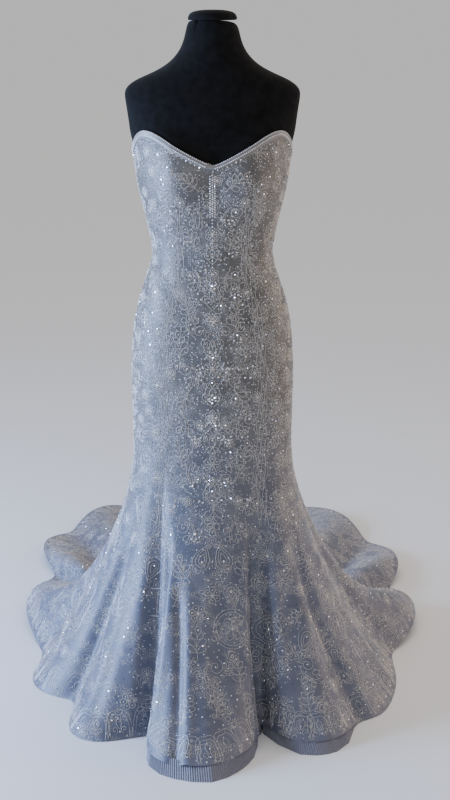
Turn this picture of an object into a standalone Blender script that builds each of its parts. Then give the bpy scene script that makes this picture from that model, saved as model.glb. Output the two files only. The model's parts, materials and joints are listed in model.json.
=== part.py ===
"""Strapless mermaid gown with a train, standing on a limbless dress form.

Metres, +Z up. The origin is the middle of the stand's underside, on the floor.
The gown's front faces -Y, and +X is the right of someone who looks at the front.
"""

import math
from collections import namedtuple

import bmesh
import bpy
import numpy as np

# Driving sizes of the gown, in metres
WALL = 0.0022            # lace, satin and lining together
SEAM_GAP = 0.0003        # between two gores
TOUCH_GAP = 0.0004       # between a piece and what it lies on
KNEE_HEIGHT = 0.600      # the fitted part ends here and the flare begins
BUST_LINE = 1.170        # rows above this follow the neckline
SQUARENESS = 0.92        # below 1 makes a section fuller than an ellipse

# The fitted part, inside the cloth: one row for each level
Section = namedtuple("Section", "height half_width front back")
BODY = (
    Section(0.600, 0.1835, 0.124, 0.131),
    Section(0.700, 0.1845, 0.125, 0.136),
    Section(0.780, 0.1860, 0.126, 0.143),
    Section(0.850, 0.1825, 0.123, 0.146),
    Section(0.900, 0.1775, 0.119, 0.141),
    Section(0.950, 0.1665, 0.113, 0.129),
    Section(1.000, 0.1495, 0.107, 0.113),
    Section(1.055, 0.1340, 0.102, 0.100),
    Section(1.110, 0.1415, 0.104, 0.098),
    Section(1.170, 0.1560, 0.112, 0.104),
    Section(1.230, 0.1690, 0.119, 0.111),
    Section(1.285, 0.1745, 0.116, 0.115),
    Section(1.345, 0.1760, 0.108, 0.114),
)
BODY_ROWS = (
    0.600, 0.650, 0.700, 0.750, 0.800, 0.845, 0.885, 0.920, 0.950, 0.980,
    1.010, 1.035, 1.058, 1.082, 1.110, 1.140, 1.170,
)
UPPER_ROW_SHARES = (0.62, 0.31)   # between the bust line and the band's lower edge

# The cups, as one soft bulge on each side of the centre front
CUP_X = 0.082
CUP_HEIGHT = 1.228
CUP_REACH = 0.026
CUP_SPREAD_X = 0.050
CUP_SPREAD_Z = 0.062

# The sweetheart neckline: how high it is at each angle from the centre front
NeckPoint = namedtuple("NeckPoint", "angle height")
NECKLINE = (
    NeckPoint(0.0, 1.258),
    NeckPoint(22.0, 1.292),
    NeckPoint(40.0, 1.322),
    NeckPoint(54.0, 1.332),
    NeckPoint(68.0, 1.322),
    NeckPoint(80.0, 1.300),
    NeckPoint(95.0, 1.276),
    NeckPoint(130.0, 1.256),
    NeckPoint(180.0, 1.250),
)

# The flutes of the skirt, in order round the hem. Each row gives the valley in which
# the fold starts: its angle on the body and its place on the floor. Then how far the
# fold reaches out of the line between its two valleys, which end of it is fuller,
# how high its hem hangs, and how high it arches at the hem and half way down the train.
Fold = namedtuple("Fold", "name gore angle valley_x valley_y reach skew hem arch ridge columns")
FOLDS = (
    Fold("narrow", "front_centre", -36, -0.136, -0.290, 0.036, -0.5, 0.020, 0.0, 0.0, 6),
    Fold("wide", "front_centre", -27, -0.083, -0.458, 0.072, 0.4, 0.024, 0.0, 0.0, 10),
    Fold("right_front", "front_side_right", 36, 0.112, -0.272, 0.112, 0.3, 0.022, 0.0, 0.0, 8),
    Fold("right_side", "front_side_right", 62, 0.342, -0.228, 0.050, 0.8, 0.0, 0.0, 0.0, 8),
    Fold("right_train_1", "back_side_right", 92, 0.462, 0.140, 0.070, 0.2, 0.0, 0.030, 0.075, 6),
    Fold("right_train_2", "back_side_right", 115, 0.500, 0.550, 0.060, 0.3, 0.0, 0.034, 0.080, 6),
    Fold("right_train_3", "back_centre_right", 138, 0.482, 0.925, 0.036, 0.0, 0.0, 0.034, 0.070, 6),
    Fold("right_train_4", "back_centre_right", 159, 0.285, 1.250, 0.075, 0.0, 0.0, 0.030, 0.060, 6),
    Fold("left_train_4", "back_centre_left", 180, 0.000, 1.330, 0.075, 0.0, 0.0, 0.030, 0.060, 6),
    Fold("left_train_3", "back_centre_left", 201, -0.255, 1.255, 0.034, 0.0, 0.0, 0.034, 0.070, 6),
    Fold("left_train_2", "back_side_left", 222, -0.450, 1.005, 0.064, 0.0, 0.0, 0.034, 0.080, 6),
    Fold("left_train_1", "back_side_left", 245, -0.455, 0.640, 0.060, 0.0, 0.0, 0.030, 0.075, 6),
    Fold("left_side", "front_side_left", 268, -0.446, 0.160, 0.066, -0.8, 0.0, 0.0, 0.0, 8),
    Fold("left_front", "front_side_left", 298, -0.335, -0.122, 0.120, -0.3, 0.0, 0.0, 0.0, 8),
)
FOLD_FULLNESS = 0.35     # smaller makes a flute squarer and its valleys tighter
COLUMN_DRIFT = 0.030     # columns stand closer in the valleys and on the crests
SKIRT_ROWS = 12          # strips from the knee to the hem
FLARE_START = 0.75       # the flare leaves the body's line at this share of the drop
STEEP_REACH = 0.34       # up to here from the body, cloth hangs free down to its hem
TRAIN_REACH = 0.80       # from here on, cloth lies on the floor as a train
TRAIN_FALL = 0.22        # how much further a long train's fall spreads, per metre
HEM_SWEEP = 0.50         # the flare aims at the hem from this share of the fall
TRAIN_SWEEP = 0.18       # and from this much less of it where a train follows
HEM_LIFT = 0.22          # it is still this share of the drop above the hem there
LANDING_START = 0.35     # ridges and arches rise from this share of the fall on
CURVE_STEPS = 60
TRAIN_STEPS = 20
GORES = (
    "front_centre", "front_side_right", "back_side_right", "back_centre_right",
    "back_centre_left", "back_side_left", "front_side_left",
)

# The beaded band on the top edge
BAND_HEIGHT = 0.009      # it covers the gown's top row
BAND_WALL = 0.0013

# The pleated frill that shows below the hem in front
FRILL_TUCK = 0.014       # under the hem
FRILL_GAP = 0.0008
FRILL_WALL = 0.0012
PLEAT_PITCH = 0.0050
PLEAT_DEPTH = 0.0013
FrillRun = namedtuple("FrillRun", "name first_fold last_fold trim_start trim_end")
FRILL_RUNS = (
    FrillRun("hem_frill_centre", "narrow", "wide", 0.016, 0.004),
    FrillRun("hem_frill_right", "right_front", "right_front", 0.004, 0.010),
)

# The dress form above the gown: one row for each level of the shoulders and the neck
FORM_BOTTOM_ROW = 2      # the row of BODY_ROWS where the form's underside is
FORM = (
    Section(1.290, 0.1800, 0.104, 0.112),
    Section(1.335, 0.1850, 0.097, 0.113),
    Section(1.375, 0.1900, 0.088, 0.108),
    Section(1.402, 0.1945, 0.079, 0.099),
    Section(1.418, 0.1940, 0.072, 0.090),
    Section(1.436, 0.1740, 0.066, 0.082),
    Section(1.453, 0.1300, 0.062, 0.075),
    Section(1.471, 0.0980, 0.059, 0.068),
    Section(1.490, 0.0790, 0.056, 0.062),
    Section(1.508, 0.0680, 0.054, 0.058),
    Section(1.528, 0.0610, 0.053, 0.055),
    Section(1.562, 0.0545, 0.052, 0.052),
)
SHOULDER_TOP = 1.402     # the widest level, from which the shoulders slope to the neck
FORM_EASE = 0.004        # the form keeps the gown's line this far above the neckline
FORM_BLEND = 0.030       # and reaches its own line over this height
CHEST_ROW_SHARES = (0.12, 0.30, 0.55, 0.80, 1.0)   # from the neckline to the shoulders

# The cap on the neck and the stand's base, each turned from these steps
TurnStep = namedtuple("TurnStep", "radius height")
CAP = (
    TurnStep(0.0, 0.0),
    TurnStep(0.0535, 0.0),
    TurnStep(0.0545, 0.003),
    TurnStep(0.0525, 0.012),
    TurnStep(0.0445, 0.019),
    TurnStep(0.0218, 0.022),
    TurnStep(0.0, 0.0225),
)
BASE = (
    TurnStep(0.0, 0.0),
    TurnStep(0.150, 0.0),
    TurnStep(0.150, 0.010),
    TurnStep(0.144, 0.014),
    TurnStep(0.030, 0.018),
    TurnStep(0.026, 0.044),
    TurnStep(0.0, 0.044),
)
POLE_RADIUS = 0.016
CAP_SIDES = 40
BASE_SIDES = 48
POLE_SIDES = 24

# The zip's slider and pull tab at the top of the centre back seam
SLIDER_DROP = 0.020      # from the top edge to the slider's middle
SLIDER_SIZE = (0.0050, 0.0020, 0.0090)
BAIL_INSIDE = (0.0021, 0.0046)   # clear height above the slider, clear length along it
BAIL_BAR = 0.0009
BAIL_WIDTH = 0.0012
SLIDER_ROUNDING = 0.0012
JOIN_OVERLAP = 0.0003            # how far fused parts reach into each other
FACE_STEP = 0.00001              # keeps fused parts' faces from being level
TAB_BAR_RADIUS = 0.0006
TAB_BAR_SIDES = 12
TAB_WIDTH = 0.0052
TAB_LENGTH = 0.0240
TAB_THICKNESS = 0.0010
TAB_WINDOW = (0.0024, 0.0042)    # width and length, for the bail to pass through
TAB_OVERLAP = 0.001              # of the tab's arms and its plate
TAB_END_RADIUS = 0.0032
TAB_END_STEPS = 8

SHARP_ANGLE = 35.0       # edges that turn more than this are shaded sharp, in degrees
PLEAT_SHARP_ANGLE = 20.0
FORM_SHARP_ANGLE = 60.0
Finish = namedtuple("Finish", "colour roughness metallic")
FINISHES = {
    "lace": Finish((0.62, 0.63, 0.68, 1.0), 0.55, 0.0),
    "band": Finish((0.70, 0.70, 0.74, 1.0), 0.35, 0.2),
    "frill": Finish((0.42, 0.43, 0.52, 1.0), 0.60, 0.0),
    "form": Finish((0.010, 0.010, 0.011, 1.0), 0.85, 0.0),
    "metal": Finish((0.55, 0.55, 0.56, 1.0), 0.35, 1.0),
    "iron": Finish((0.03, 0.03, 0.03, 1.0), 0.45, 0.6),
}


def column(table, name):
    return np.array([getattr(row, name) for row in table], float)


def curve_through(places, values, at):
    """The smooth curve through a table's rows, read at one place."""
    slopes = np.gradient(values, places)
    at = float(np.clip(at, places[0], places[-1]))
    i = int(np.clip(np.searchsorted(places, at, side="right") - 1, 0, len(places) - 2))
    width = places[i + 1] - places[i]
    t = (at - places[i]) / width
    start = (2 * t**3 - 3 * t**2 + 1) * values[i] + (t**3 - 2 * t**2 + t) * width * slopes[i]
    end = (3 * t**2 - 2 * t**3) * values[i + 1] + (t**3 - t**2) * width * slopes[i + 1]
    return start + end


def eased(share):
    share = min(max(share, 0.0), 1.0)
    return share * share * (3 - 2 * share)


def unit(vector):
    return vector / np.linalg.norm(vector)


def ring_point(sections, angle, height):
    """A point on the section at this height. Angle 0 is the front, 90 is +X."""
    heights = column(sections, "height")
    half_width = curve_through(heights, column(sections, "half_width"), height)
    turn = math.radians(angle)
    depth_name = "front" if math.cos(turn) > 0 else "back"
    depth = curve_through(heights, column(sections, depth_name), height)
    across = math.copysign(abs(math.sin(turn)) ** SQUARENESS, math.sin(turn))
    along = math.copysign(abs(math.cos(turn)) ** SQUARENESS, math.cos(turn))
    return np.array((half_width * across, -depth * along, height))


def body_point(angle, height):
    """A point on the inner face of the fitted part, cups included."""
    point = ring_point(BODY, angle, height)
    if point[1] < 0:
        side = (abs(point[0]) - CUP_X) / CUP_SPREAD_X
        level = (height - CUP_HEIGHT) / CUP_SPREAD_Z
        point[1] -= CUP_REACH * math.exp(-side**2 - level**2)
    return point


def neck_height(angle):
    turned = abs((angle + 180.0) % 360.0 - 180.0)
    return curve_through(column(NECKLINE, "angle"), column(NECKLINE, "height"), turned)


def next_fold(index):
    """The next fold round the hem, and the angle of its valley counted past this one's."""
    fold = FOLDS[(index + 1) % len(FOLDS)]
    return fold, fold.angle + (360.0 if index + 1 == len(FOLDS) else 0.0)


def fold_shape(share):
    """0 in the valleys and 1 on the crest of a flute."""
    wave = math.sin(math.pi * share) ** 2
    return wave / (wave + FOLD_FULLNESS) * (1 + FOLD_FULLNESS)


def column_share(fold, step):
    """How far across a flute one of its columns stands."""
    even = step / fold.columns
    return even - COLUMN_DRIFT * math.sin(4 * math.pi * even)


def hem_line(index, share):
    """Across one flute: angle on the body, place on the floor, hem height, arch, ridge."""
    fold = FOLDS[index]
    after, after_angle = next_fold(index)
    before = FOLDS[index - 1]
    start = np.array((fold.valley_x, fold.valley_y))
    chord = np.array((after.valley_x, after.valley_y)) - start
    outward = unit(np.array((chord[1], -chord[0])))
    bulge = fold_shape(share ** (2.0 ** -fold.skew))
    place = start + chord * share + outward * fold.reach * bulge
    angle = fold.angle + (after_angle - fold.angle) * share
    valley_hem = (1 - share) * min(before.hem, fold.hem) + share * min(fold.hem, after.hem)
    hem = valley_hem + (fold.hem - valley_hem) * bulge
    return angle, place, hem, fold.arch * bulge, fold.ridge * bulge


def skirt_line(angle, place, hem, arch, ridge):
    """Points from the knee to the hem, evenly spaced, on the inner face of the cloth."""
    knee = body_point(angle, KNEE_HEIGHT)
    run = place - knee[:2]
    reach = float(np.linalg.norm(run))
    train = eased((reach - STEEP_REACH) / (TRAIN_REACH - STEEP_REACH))
    fall = min(reach, STEEP_REACH + (reach - STEEP_REACH) * (1 - train) + TRAIN_FALL * reach * train)
    drop = KNEE_HEIGHT - hem
    corners = (
        (0.0, KNEE_HEIGHT),
        (0.0, hem + drop * FLARE_START),
        (fall * (HEM_SWEEP - TRAIN_SWEEP * train), hem + drop * HEM_LIFT * (1 - train)),
        (fall, hem),
    )
    line = []
    for step in range(CURVE_STEPS + 1):
        t = step / CURVE_STEPS
        weights = ((1 - t) ** 3, 3 * (1 - t) ** 2 * t, 3 * (1 - t) * t**2, t**3)
        line.append([sum(w * c[axis] for w, c in zip(weights, corners)) for axis in (0, 1)])
    trailing = reach - fall
    if trailing > SEAM_GAP:
        line += [[fall + trailing * step / TRAIN_STEPS, hem] for step in range(1, TRAIN_STEPS + 1)]
    line = np.array(line)
    length = np.concatenate([[0.0], np.cumsum(np.linalg.norm(np.diff(line, axis=0), axis=1))])
    points = []
    for row in range(SKIRT_ROWS + 1):
        at = length[-1] * row / SKIRT_ROWS
        out = np.interp(at, length, line[:, 0])
        height = np.interp(at, length, line[:, 1])
        landed = eased((out / fall - LANDING_START) / (1 - LANDING_START))
        trailed = eased((out - fall) / trailing) if trailing > SEAM_GAP else 1.0
        height += landed * (ridge * (1 - trailed) + arch * trailed)
        spot = knee[:2] + run * out / reach
        points.append(np.array((spot[0], spot[1], height)))
    return points


Line = namedtuple("Line", "gore angle coarse rows")


def gown_lines():
    """Every line of points down the gown, round from the left princess seam.

    Rows run from the neckline to the hem, and the fitted part is made from every second
    line only, the coarse ones.
    """
    lines = []
    for index, fold in enumerate(FOLDS):
        for step in range(fold.columns):
            angle, place, hem, arch, ridge = hem_line(index, column_share(fold, step))
            top = neck_height(angle)
            under_band = top - BAND_HEIGHT
            heights = [top, under_band]
            heights += [BUST_LINE + (under_band - BUST_LINE) * s for s in UPPER_ROW_SHARES]
            heights += list(reversed(BODY_ROWS))
            fitted = [body_point(angle, height) for height in heights]
            flared = skirt_line(angle, place, hem, arch, ridge)
            lines.append(Line(fold.gore, angle, step % 2 == 0, fitted + flared[1:]))
    return lines


def grid_normals(points):
    """Outward directions at every point of a ring of lines, shape (lines, rows, 3)."""
    around = np.roll(points, -1, axis=0) - np.roll(points, 1, axis=0)
    down = np.gradient(points, axis=1)
    normals = np.cross(down, around)
    return normals / np.linalg.norm(normals, axis=2, keepdims=True)


LINES = gown_lines()
INNER = np.array([line.rows for line in LINES])
NORMALS = grid_normals(INNER)
OUTER = INNER + NORMALS * WALL
KNEE_ROW = len(UPPER_ROW_SHARES) + len(BODY_ROWS) + 1
COARSE = [i for i, line in enumerate(LINES) if line.coarse]
CENTRE_BACK = next(i for i in COARSE if LINES[i].gore == "back_centre_left")


def material(name):
    finish = FINISHES[name]
    made = bpy.data.materials.get(name) or bpy.data.materials.new(name)
    made.use_nodes = True
    shader = made.node_tree.nodes["Principled BSDF"]
    shader.inputs["Base Color"].default_value = finish.colour
    shader.inputs["Roughness"].default_value = finish.roughness
    shader.inputs["Metallic"].default_value = finish.metallic
    return made


def add_object(name, points, faces, finish, smooth_angle=SHARP_ANGLE):
    """One closed body from its points and faces, as a named object."""
    mesh = bpy.data.meshes.new(name)
    mesh.from_pydata([tuple(map(float, p)) for p in points], [], faces)
    mesh.validate()
    mesh.shade_smooth()
    mesh.set_sharp_from_angle(angle=math.radians(smooth_angle))
    mesh.materials.append(material(finish))
    obj = bpy.data.objects.new(name, mesh)
    bpy.context.scene.collection.objects.link(obj)
    return obj


def strip(upper, lower):
    """Triangles between two rows of point numbers, the lower as long or twice as fine."""
    faces = []
    if len(upper) == len(lower):
        for i in range(len(upper) - 1):
            faces += [(upper[i], lower[i], lower[i + 1]), (upper[i], lower[i + 1], upper[i + 1])]
        return faces
    for i in range(len(upper) - 1):
        left, middle, right = lower[2 * i:2 * i + 3]
        faces += [(upper[i], left, middle), (upper[i], middle, upper[i + 1])]
        faces.append((upper[i + 1], middle, right))
    return faces


def wall_object(name, outer_rows, inner_rows, finish):
    """A wall with rims, from matching rows of points on its two faces, top row first."""
    points, sides = [], []
    for rows in (outer_rows, inner_rows):
        numbered = []
        for row in rows:
            numbered.append(list(range(len(points), len(points) + len(row))))
            points += list(row)
        sides.append(numbered)
    outer, inner = sides
    faces = []
    for above, below in zip(outer, outer[1:]):
        faces += strip(above, below)
    for above, below in zip(inner, inner[1:]):
        faces += [face[::-1] for face in strip(above, below)]
    faces += strip(inner[0], outer[0])
    faces += [face[::-1] for face in strip(inner[-1], outer[-1])]
    faces += [face[::-1] for face in strip([row[0] for row in inner], [row[0] for row in outer])]
    faces += strip([row[-1] for row in inner], [row[-1] for row in outer])
    return add_object(name, points, faces, finish)


def gore_columns(gore):
    """The line numbers of a gore, with the line on its far seam."""
    own = [i for i, line in enumerate(LINES) if line.gore == gore]
    return own + [(own[-1] + 1) % len(LINES)]


def gore_rows(side, columns):
    """The rows of one face of a gore, its two edges drawn in by half a seam gap."""
    rows = []
    for row in range(side.shape[1]):
        kept = columns if row > KNEE_ROW else columns[::2]
        points = [side[i, row].copy() for i in kept]
        first, last = points[0].copy(), points[-1].copy()
        points[0] += unit(points[1] - first) * SEAM_GAP / 2
        points[-1] += unit(points[-2] - last) * SEAM_GAP / 2
        rows.append(points)
    return rows


def make_gores():
    for gore in GORES:
        columns = gore_columns(gore)
        wall_object(gore, gore_rows(OUTER, columns), gore_rows(INNER, columns), "lace")


def make_neckline_band():
    """The band follows the top edge from one side of the zip to the other."""
    first = COARSE.index(CENTRE_BACK)
    lines = COARSE[first:] + COARSE[:first] + [CENTRE_BACK]
    rows = {"outer": [[], []], "inner": [[], []]}
    for i in lines:
        for level in (0, 1):
            rows["inner"][level].append(OUTER[i, level] + NORMALS[i, level] * TOUCH_GAP)
            rows["outer"][level].append(OUTER[i, level] + NORMALS[i, level] * (TOUCH_GAP + BAND_WALL))
    for face in rows.values():
        for row in face:
            first, last = row[0].copy(), row[-1].copy()
            row[0] = first + unit(row[1] - first) * SEAM_GAP
            row[-1] = last + unit(row[-2] - last) * SEAM_GAP
    wall_object("neckline_band", rows["outer"], rows["inner"], "band")


def frill_point(columns, at, inward, below):
    """A point of the frill: part way along the hem, this far inside the cloth's inner face.

    below is how far past the hem's edge it lies, or None for a point on the floor.
    """
    i = min(int(at), len(columns) - 2)
    share = at - i
    a, b = columns[i], columns[i + 1]
    edge = INNER[a, -1] * (1 - share) + INNER[b, -1] * share
    above = INNER[a, -2] * (1 - share) + INNER[b, -2] * share
    normal = unit(NORMALS[a, -1] * (1 - share) + NORMALS[b, -1] * share)
    down = unit(edge - above)
    spot = edge - normal * inward
    return spot + down * (-spot[2] / down[2] if below is None else below)


def make_frill(name, columns, trim_start, trim_end):
    """A finely pleated edge that starts under the hem and stands on the floor."""
    knots = [INNER[i, -1] for i in columns]
    reach = np.concatenate([[0.0], np.cumsum([np.linalg.norm(b - a) for a, b in zip(knots, knots[1:])])])
    start, end = trim_start, reach[-1] - trim_end
    pleats = int((end - start) / PLEAT_PITCH)
    rows = {"outer": [[], []], "inner": [[], []]}
    for k in range(2 * pleats + 1):
        at = float(np.interp(start + (end - start) * k / (2 * pleats), reach, range(len(columns))))
        groove = FRILL_GAP + PLEAT_DEPTH * (k % 2)
        behind = FRILL_GAP + PLEAT_DEPTH + FRILL_WALL
        for level, below in enumerate((-FRILL_TUCK, None)):
            rows["outer"][level].append(frill_point(columns, at, groove, below))
            if k % 2 == 0:
                rows["inner"][level].append(frill_point(columns, at, behind, below))
    points, numbered = [], {}
    for face, levels in rows.items():
        numbered[face] = []
        for row in levels:
            numbered[face].append(list(range(len(points), len(points) + len(row))))
            points += row
    outer, inner = numbered["outer"], numbered["inner"]
    faces = strip(outer[0], outer[1])
    faces += [face[::-1] for face in strip(inner[0], inner[1])]
    faces += strip(inner[0], outer[0])
    faces += [face[::-1] for face in strip(inner[1], outer[1])]
    faces += [(inner[0][0], outer[1][0], outer[0][0]), (inner[0][0], inner[1][0], outer[1][0])]
    faces += [(inner[0][-1], outer[0][-1], outer[1][-1]), (inner[0][-1], outer[1][-1], inner[1][-1])]
    add_object(name, points, faces, "frill", smooth_angle=PLEAT_SHARP_ANGLE)


def make_frills():
    names = [fold.name for fold in FOLDS]
    starts = np.cumsum([0] + [fold.columns for fold in FOLDS])
    for run in FRILL_RUNS:
        first = starts[names.index(run.first_fold)]
        last = starts[names.index(run.last_fold) + 1]
        make_frill(run.name, range(first, last + 1), run.trim_start, run.trim_end)


def make_form():
    """The form follows the inside of the gown, then widens into shoulders and a neck."""
    rows = []
    for row in range(KNEE_ROW - FORM_BOTTOM_ROW, -1, -1):
        rows.append([INNER[i, row] - NORMALS[i, row] * TOUCH_GAP for i in COARSE])
    angles = [LINES[i].angle for i in COARSE]
    top_ring = rows[-1]
    for share in CHEST_ROW_SHARES:
        ring = []
        for angle, under_edge in zip(angles, top_ring):
            top = neck_height(angle)
            height = top + (SHOULDER_TOP - top) * share
            own = ring_point(FORM, angle, height)
            gown = np.array((under_edge[0], under_edge[1], height))
            mix = eased((height - top - FORM_EASE) / FORM_BLEND)
            ring.append(gown * (1 - mix) + own * mix)
        rows.append(ring)
    for section in FORM:
        if section.height > SHOULDER_TOP:
            rows.append([ring_point(FORM, angle, section.height) for angle in angles])
    points, numbered = [], []
    for row in rows:
        numbered.append(list(range(len(points), len(points) + len(row))))
        points += row
    faces = []
    for below, above in zip(numbered, numbered[1:]):
        faces += strip(above + above[:1], below + below[:1])
    for ring, turned in ((numbered[0], True), (numbered[-1], False)):
        middle = len(points)
        points.append(np.mean([points[i] for i in ring], axis=0))
        for a, b in zip(ring, ring[1:] + ring[:1]):
            faces.append((middle, b, a) if turned else (middle, a, b))
    add_object("form_torso", points, faces, "form", smooth_angle=FORM_SHARP_ANGLE)
    return points[numbered[0][0]][2]


def turned_object(name, steps, finish, sides, low=0.0, stretch=1.0):
    """A solid of revolution on the upright axis, stood at a height and drawn in along Y."""
    mesh = bmesh.new()
    verts = [mesh.verts.new((step.radius, 0.0, step.height)) for step in steps]
    edges = [mesh.edges.new(pair) for pair in zip(verts, verts[1:])]
    bmesh.ops.spin(
        mesh, geom=verts + edges, cent=(0, 0, 0), axis=(0, 0, 1), angle=2 * math.pi,
        steps=sides, use_merge=True,
    )
    bmesh.ops.remove_doubles(mesh, verts=mesh.verts, dist=FACE_STEP)
    bmesh.ops.recalc_face_normals(mesh, faces=mesh.faces)
    for vert in mesh.verts:
        vert.co.y *= stretch
    data = bpy.data.meshes.new(name)
    mesh.to_mesh(data)
    mesh.free()
    data.shade_smooth()
    data.set_sharp_from_angle(angle=math.radians(SHARP_ANGLE))
    data.materials.append(material(finish))
    obj = bpy.data.objects.new(name, data)
    obj.location = (0.0, 0.0, low)
    bpy.context.scene.collection.objects.link(obj)


def make_neck_cap():
    neck = FORM[-1]
    turned_object(
        "form_neck_cap", CAP, "form", CAP_SIDES, neck.height + TOUCH_GAP,
        neck.front / neck.half_width,
    )


def make_stand(form_bottom):
    turned_object("stand_base", BASE, "iron", BASE_SIDES)
    low, high = BASE[-1].height + TOUCH_GAP, form_bottom - TOUCH_GAP
    pole = (
        TurnStep(0.0, low), TurnStep(POLE_RADIUS, low),
        TurnStep(POLE_RADIUS, high), TurnStep(0.0, high),
    )
    turned_object("stand_pole", pole, "iron", POLE_SIDES)


def box_into(mesh, centre, size):
    made = bmesh.ops.create_cube(mesh, size=1.0)["verts"]
    bmesh.ops.scale(mesh, vec=size, verts=made)
    bmesh.ops.translate(mesh, vec=centre, verts=made)


def solid_from(name, parts, finish, location, tilt):
    """Joins convex parts into one body with Boolean unions and places it."""
    first, cutters = None, []
    for number, fill in enumerate(parts):
        mesh = bmesh.new()
        fill(mesh)
        bmesh.ops.recalc_face_normals(mesh, faces=mesh.faces)
        data = bpy.data.meshes.new(f"{name}_{number}")
        mesh.to_mesh(data)
        mesh.free()
        obj = bpy.data.objects.new(name if number == 0 else f"{name}_{number}", data)
        bpy.context.scene.collection.objects.link(obj)
        obj.location = location
        obj.rotation_euler = (tilt, 0.0, 0.0)
        if first is None:
            first = obj
            data.materials.append(material(finish))
            continue
        obj.hide_render = True
        obj.display_type = "WIRE"
        union = first.modifiers.new(f"join_{number}", "BOOLEAN")
        union.operation = "UNION"
        union.object = obj
        cutters.append(obj)
    return first


def make_slider(seat, tilt):
    """The slider's block, with a bail over it for the tab's bar."""
    width, depth, length = SLIDER_SIZE
    clear, span = BAIL_INSIDE
    face = TOUCH_GAP + depth

    def block(mesh):
        box_into(mesh, (0, TOUCH_GAP + depth / 2, 0), (width, depth, length))
        edges = [e for e in mesh.edges if abs(e.verts[0].co.y - e.verts[1].co.y) > depth / 2]
        bmesh.ops.bevel(mesh, geom=edges, offset=SLIDER_ROUNDING, segments=2, affect="EDGES")

    def leg(end):
        def fill(mesh):
            height = clear + BAIL_BAR + 2 * JOIN_OVERLAP
            centre = (0, face + (clear + BAIL_BAR) / 2 - JOIN_OVERLAP, end * (span + BAIL_BAR) / 2)
            box_into(mesh, centre, (BAIL_WIDTH, height, BAIL_BAR))
        return fill

    def crown(mesh):
        size = (BAIL_WIDTH + 2 * FACE_STEP, BAIL_BAR, span + 2 * BAIL_BAR - 2 * FACE_STEP)
        box_into(mesh, (0, face + clear + BAIL_BAR / 2, 0), size)

    solid_from("zip_slider", (block, leg(1), leg(-1), crown), "metal", seat, tilt)


def make_tab(pivot):
    """The pull tab: a bar under the bail, two arms and a plate that hangs down."""
    window_width, window_length = TAB_WINDOW
    arm = (TAB_WIDTH - window_width) / 2

    def bar(mesh):
        made = bmesh.ops.create_cone(
            mesh, cap_ends=True, segments=TAB_BAR_SIDES, radius1=TAB_BAR_RADIUS,
            radius2=TAB_BAR_RADIUS, depth=TAB_WIDTH - 2 * FACE_STEP,
        )["verts"]
        for vert in made:
            x, y, z = vert.co
            vert.co = (z, y, -x)

    def side(end):
        def fill(mesh):
            length = window_length + TAB_OVERLAP
            centre = (end * (window_width + arm) / 2, 0, -length / 2)
            box_into(mesh, centre, (arm, TAB_THICKNESS, length))
        return fill

    def plate(mesh):
        half = TAB_WIDTH / 2 - FACE_STEP
        thickness = TAB_THICKNESS - 2 * FACE_STEP
        outline = [(-half, -window_length), (half, -window_length)]
        for step in range(TAB_END_STEPS + 1):
            turn = math.pi * step / TAB_END_STEPS
            below = TAB_LENGTH - TAB_END_RADIUS + TAB_END_RADIUS * math.sin(turn)
            outline.append((TAB_END_RADIUS * math.cos(turn), -below))
        verts = [mesh.verts.new((x, -thickness / 2, z)) for x, z in outline]
        flat = mesh.faces.new(verts)
        raised = bmesh.ops.extrude_face_region(mesh, geom=[flat])["geom"]
        moved = [v for v in raised if isinstance(v, bmesh.types.BMVert)]
        bmesh.ops.translate(mesh, vec=(0, thickness, 0), verts=moved)

    solid_from("zip_pull", (bar, side(1), side(-1), plate), "metal", pivot, 0.0)


def make_zip():
    """The slider lies on the centre back seam, with the tab hanging from it."""
    top, low = OUTER[CENTRE_BACK, 0], OUTER[CENTRE_BACK, 1]
    spot = top + unit(low - top) * SLIDER_DROP
    normal = NORMALS[CENTRE_BACK, 0]
    make_slider(tuple(spot), math.atan2(normal[2], normal[1]))
    make_tab(tuple(spot + normal * (TOUCH_GAP + SLIDER_SIZE[1] + BAIL_INSIDE[0] / 2)))


def main():
    for obj in list(bpy.data.objects):
        bpy.data.objects.remove(obj)
    make_gores()
    make_neckline_band()
    make_frills()
    form_bottom = make_form()
    make_neck_cap()
    make_stand(form_bottom)
    make_zip()


main()
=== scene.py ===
import json
import math
import random

import bmesh
import bpy
import numpy as np
from mathutils import Matrix, Vector
from mathutils.bvhtree import BVHTree

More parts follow.
